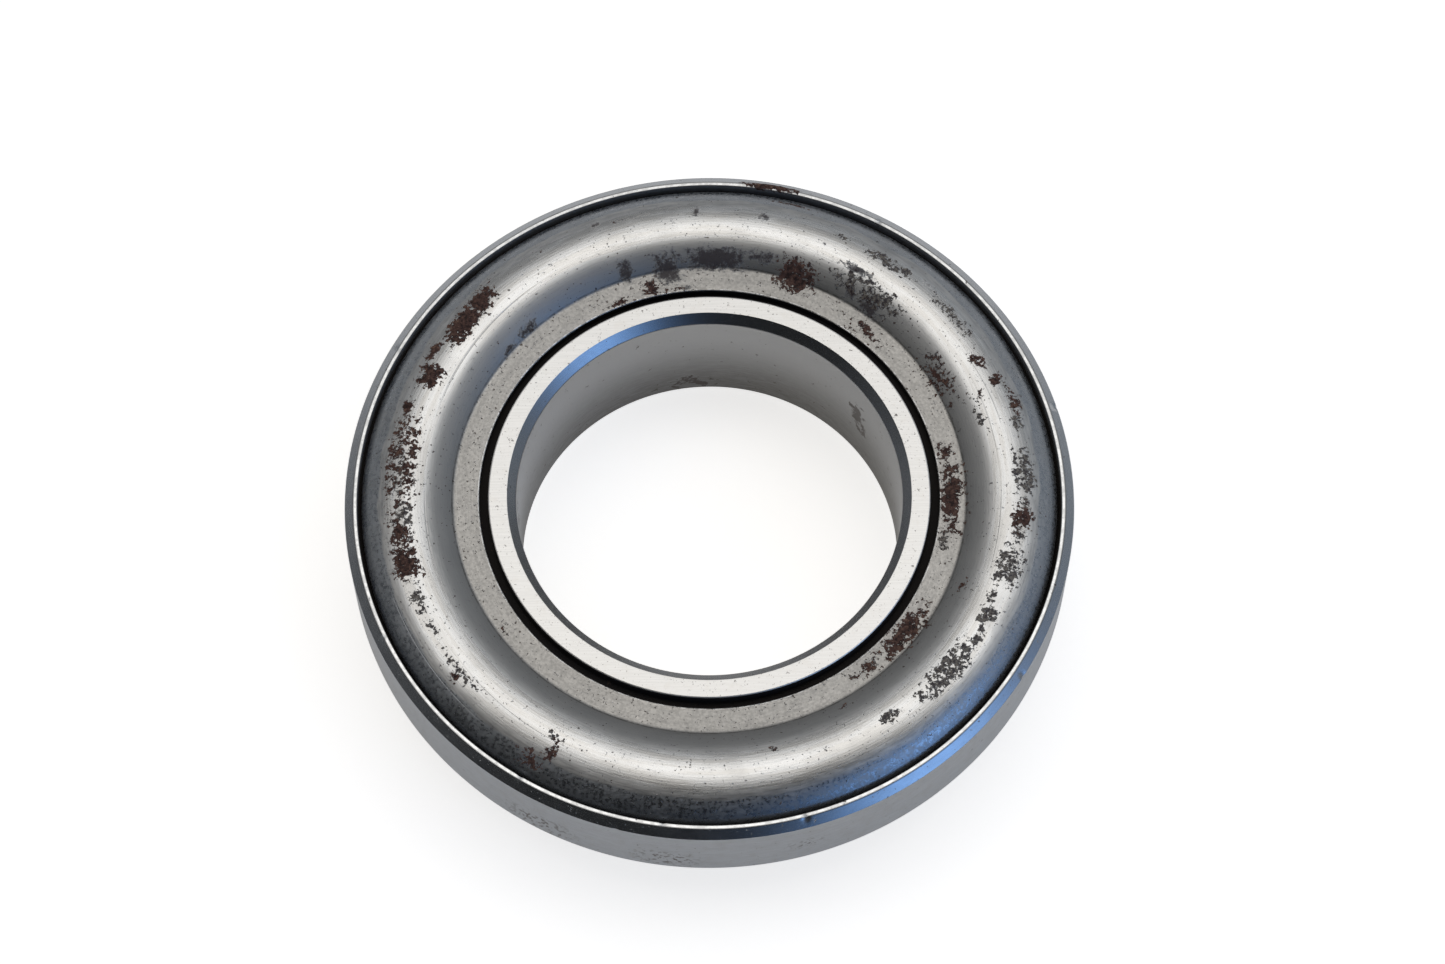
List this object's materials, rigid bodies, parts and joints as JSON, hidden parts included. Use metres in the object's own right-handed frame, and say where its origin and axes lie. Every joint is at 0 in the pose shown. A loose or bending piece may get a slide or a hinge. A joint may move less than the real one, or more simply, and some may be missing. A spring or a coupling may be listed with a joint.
{
  "type": "tapered roller bearing",
  "caption": "Tapered roller bearing with a domed sheet-steel shield on its front, a plain outer ring and an inner ring that stands out below it.",
  "frame": {"origin": "centre of the inner ring's bottom face, on the bearing's axis", "axes": "+Z along the bearing's axis towards the shielded side; +X towards the first roller"},
  "size_m": [0.085, 0.085, 0.0201],
  "materials": {
    "ring_steel": "ground bearing steel, satin",
    "shield_steel": "pressed sheet steel, polished by wear, spotted with rust",
    "cage_steel": "pressed and pierced sheet steel, matt",
    "roller_steel": "ground and honed bearing steel"
  },
  "bodies": {
    "outer_ring": {"outer_ring": "ring_steel", "front_shield": "shield_steel"},
    "inner_ring": {"inner_ring": "ring_steel"},
    "roller_cage": {"roller_cage": "cage_steel"},
    "roller_01": {"roller_01": "roller_steel"},
    "roller_02": {"roller_02": "roller_steel"},
    "roller_03": {"roller_03": "roller_steel"},
    "roller_04": {"roller_04": "roller_steel"},
    "roller_05": {"roller_05": "roller_steel"},
    "roller_06": {"roller_06": "roller_steel"},
    "roller_07": {"roller_07": "roller_steel"},
    "roller_08": {"roller_08": "roller_steel"},
    "roller_09": {"roller_09": "roller_steel"},
    "roller_10": {"roller_10": "roller_steel"},
    "roller_11": {"roller_11": "roller_steel"},
    "roller_12": {"roller_12": "roller_steel"},
    "roller_13": {"roller_13": "roller_steel"},
    "roller_14": {"roller_14": "roller_steel"},
    "roller_15": {"roller_15": "roller_steel"},
    "roller_16": {"roller_16": "roller_steel"},
    "roller_17": {"roller_17": "roller_steel"},
    "roller_18": {"roller_18": "roller_steel"},
    "roller_19": {"roller_19": "roller_steel"},
    "roller_20": {"roller_20": "roller_steel"},
    "roller_21": {"roller_21": "roller_steel"},
    "roller_22": {"roller_22": "roller_steel"},
    "roller_23": {"roller_23": "roller_steel"},
    "roller_24": {"roller_24": "roller_steel"}
  },
  "joints": [
    {"name": "inner_ring_spin", "type": "hinge", "parent": "outer_ring", "child": "inner_ring", "pos_m": [0, 0, 0], "axis": [0, 0, 1], "continuous": true},
    {"name": "cage_spin", "type": "hinge", "parent": "outer_ring", "child": "roller_cage", "pos_m": [0, 0, 0], "axis": [0, 0, 1], "continuous": true},
    {"name": "roller_01_spin", "type": "hinge", "parent": "roller_cage", "child": "roller_01", "pos_m": [0.0344, 0, 0.01093], "axis": [0.2079, 0, 0.9781], "continuous": true},
    {"name": "roller_02_spin", "type": "hinge", "parent": "roller_cage", "child": "roller_02", "pos_m": [0.03323, 0.0089, 0.01093], "axis": [0.2008, 0.0538, 0.9781], "continuous": true},
    {"name": "roller_03_spin", "type": "hinge", "parent": "roller_cage", "child": "roller_03", "pos_m": [0.02979, 0.0172, 0.01093], "axis": [0.1801, 0.104, 0.9781], "continuous": true},
    {"name": "roller_04_spin", "type": "hinge", "parent": "roller_cage", "child": "roller_04", "pos_m": [0.02432, 0.02432, 0.01093], "axis": [0.147, 0.147, 0.9781], "continuous": true},
    {"name": "roller_05_spin", "type": "hinge", "parent": "roller_cage", "child": "roller_05", "pos_m": [0.0172, 0.02979, 0.01093], "axis": [0.104, 0.1801, 0.9781], "continuous": true},
    {"name": "roller_06_spin", "type": "hinge", "parent": "roller_cage", "child": "roller_06", "pos_m": [0.0089, 0.03323, 0.01093], "axis": [0.0538, 0.2008, 0.9781], "continuous": true},
    {"name": "roller_07_spin", "type": "hinge", "parent": "roller_cage", "child": "roller_07", "pos_m": [0, 0.0344, 0.01093], "axis": [0, 0.2079, 0.9781], "continuous": true},
    {"name": "roller_08_spin", "type": "hinge", "parent": "roller_cage", "child": "roller_08", "pos_m": [-0.0089, 0.03323, 0.01093], "axis": [-0.0538, 0.2008, 0.9781], "continuous": true},
    {"name": "roller_09_spin", "type": "hinge", "parent": "roller_cage", "child": "roller_09", "pos_m": [-0.0172, 0.02979, 0.01093], "axis": [-0.104, 0.1801, 0.9781], "continuous": true},
    {"name": "roller_10_spin", "type": "hinge", "parent": "roller_cage", "child": "roller_10", "pos_m": [-0.02432, 0.02432, 0.01093], "axis": [-0.147, 0.147, 0.9781], "continuous": true},
    {"name": "roller_11_spin", "type": "hinge", "parent": "roller_cage", "child": "roller_11", "pos_m": [-0.02979, 0.0172, 0.01093], "axis": [-0.1801, 0.104, 0.9781], "continuous": true},
    {"name": "roller_12_spin", "type": "hinge", "parent": "roller_cage", "child": "roller_12", "pos_m": [-0.03323, 0.0089, 0.01093], "axis": [-0.2008, 0.0538, 0.9781], "continuous": true},
    {"name": "roller_13_spin", "type": "hinge", "parent": "roller_cage", "child": "roller_13", "pos_m": [-0.0344, 0, 0.01093], "axis": [-0.2079, 0, 0.9781], "continuous": true},
    {"name": "roller_14_spin", "type": "hinge", "parent": "roller_cage", "child": "roller_14", "pos_m": [-0.03323, -0.0089, 0.01093], "axis": [-0.2008, -0.0538, 0.9781], "continuous": true},
    {"name": "roller_15_spin", "type": "hinge", "parent": "roller_cage", "child": "roller_15", "pos_m": [-0.02979, -0.0172, 0.01093], "axis": [-0.1801, -0.104, 0.9781], "continuous": true},
    {"name": "roller_16_spin", "type": "hinge", "parent": "roller_cage", "child": "roller_16", "pos_m": [-0.02432, -0.02432, 0.01093], "axis": [-0.147, -0.147, 0.9781], "continuous": true},
    {"name": "roller_17_spin", "type": "hinge", "parent": "roller_cage", "child": "roller_17", "pos_m": [-0.0172, -0.02979, 0.01093], "axis": [-0.104, -0.1801, 0.9781], "continuous": true},
    {"name": "roller_18_spin", "type": "hinge", "parent": "roller_cage", "child": "roller_18", "pos_m": [-0.0089, -0.03323, 0.01093], "axis": [-0.0538, -0.2008, 0.9781], "continuous": true},
    {"name": "roller_19_spin", "type": "hinge", "parent": "roller_cage", "child": "roller_19", "pos_m": [0, -0.0344, 0.01093], "axis": [0, -0.2079, 0.9781], "continuous": true},
    {"name": "roller_20_spin", "type": "hinge", "parent": "roller_cage", "child": "roller_20", "pos_m": [0.0089, -0.03323, 0.01093], "axis": [0.0538, -0.2008, 0.9781], "continuous": true},
    {"name": "roller_21_spin", "type": "hinge", "parent": "roller_cage", "child": "roller_21", "pos_m": [0.0172, -0.02979, 0.01093], "axis": [0.104, -0.1801, 0.9781], "continuous": true},
    {"name": "roller_22_spin", "type": "hinge", "parent": "roller_cage", "child": "roller_22", "pos_m": [0.02432, -0.02432, 0.01093], "axis": [0.147, -0.147, 0.9781], "continuous": true},
    {"name": "roller_23_spin", "type": "hinge", "parent": "roller_cage", "child": "roller_23", "pos_m": [0.02979, -0.0172, 0.01093], "axis": [0.1801, -0.104, 0.9781], "continuous": true},
    {"name": "roller_24_spin", "type": "hinge", "parent": "roller_cage", "child": "roller_24", "pos_m": [0.03323, -0.0089, 0.01093], "axis": [0.2008, -0.0538, 0.9781], "continuous": true}
  ],
  "couplings": [
    {"joint": "cage_spin", "follows": "inner_ring_spin", "ratio": 0.45308},
    {"joint": "roller_01_spin", "follows": "inner_ring_spin", "ratio": -5.1662},
    {"joint": "roller_02_spin", "follows": "inner_ring_spin", "ratio": -5.1662},
    {"joint": "roller_03_spin", "follows": "inner_ring_spin", "ratio": -5.1662},
    {"joint": "roller_04_spin", "follows": "inner_ring_spin", "ratio": -5.1662},
    {"joint": "roller_05_spin", "follows": "inner_ring_spin", "ratio": -5.1662},
    {"joint": "roller_06_spin", "follows": "inner_ring_spin", "ratio": -5.1662},
    {"joint": "roller_07_spin", "follows": "inner_ring_spin", "ratio": -5.1662},
    {"joint": "roller_08_spin", "follows": "inner_ring_spin", "ratio": -5.1662},
    {"joint": "roller_09_spin", "follows": "inner_ring_spin", "ratio": -5.1662},
    {"joint": "roller_10_spin", "follows": "inner_ring_spin", "ratio": -5.1662},
    {"joint": "roller_11_spin", "follows": "inner_ring_spin", "ratio": -5.1662},
    {"joint": "roller_12_spin", "follows": "inner_ring_spin", "ratio": -5.1662},
    {"joint": "roller_13_spin", "follows": "inner_ring_spin", "ratio": -5.1662},
    {"joint": "roller_14_spin", "follows": "inner_ring_spin", "ratio": -5.1662},
    {"joint": "roller_15_spin", "follows": "inner_ring_spin", "ratio": -5.1662},
    {"joint": "roller_16_spin", "follows": "inner_ring_spin", "ratio": -5.1662},
    {"joint": "roller_17_spin", "follows": "inner_ring_spin", "ratio": -5.1662},
    {"joint": "roller_18_spin", "follows": "inner_ring_spin", "ratio": -5.1662},
    {"joint": "roller_19_spin", "follows": "inner_ring_spin", "ratio": -5.1662},
    {"joint": "roller_20_spin", "follows": "inner_ring_spin", "ratio": -5.1662},
    {"joint": "roller_21_spin", "follows": "inner_ring_spin", "ratio": -5.1662},
    {"joint": "roller_22_spin", "follows": "inner_ring_spin", "ratio": -5.1662},
    {"joint": "roller_23_spin", "follows": "inner_ring_spin", "ratio": -5.1662},
    {"joint": "roller_24_spin", "follows": "inner_ring_spin", "ratio": -5.1662}
  ]
}
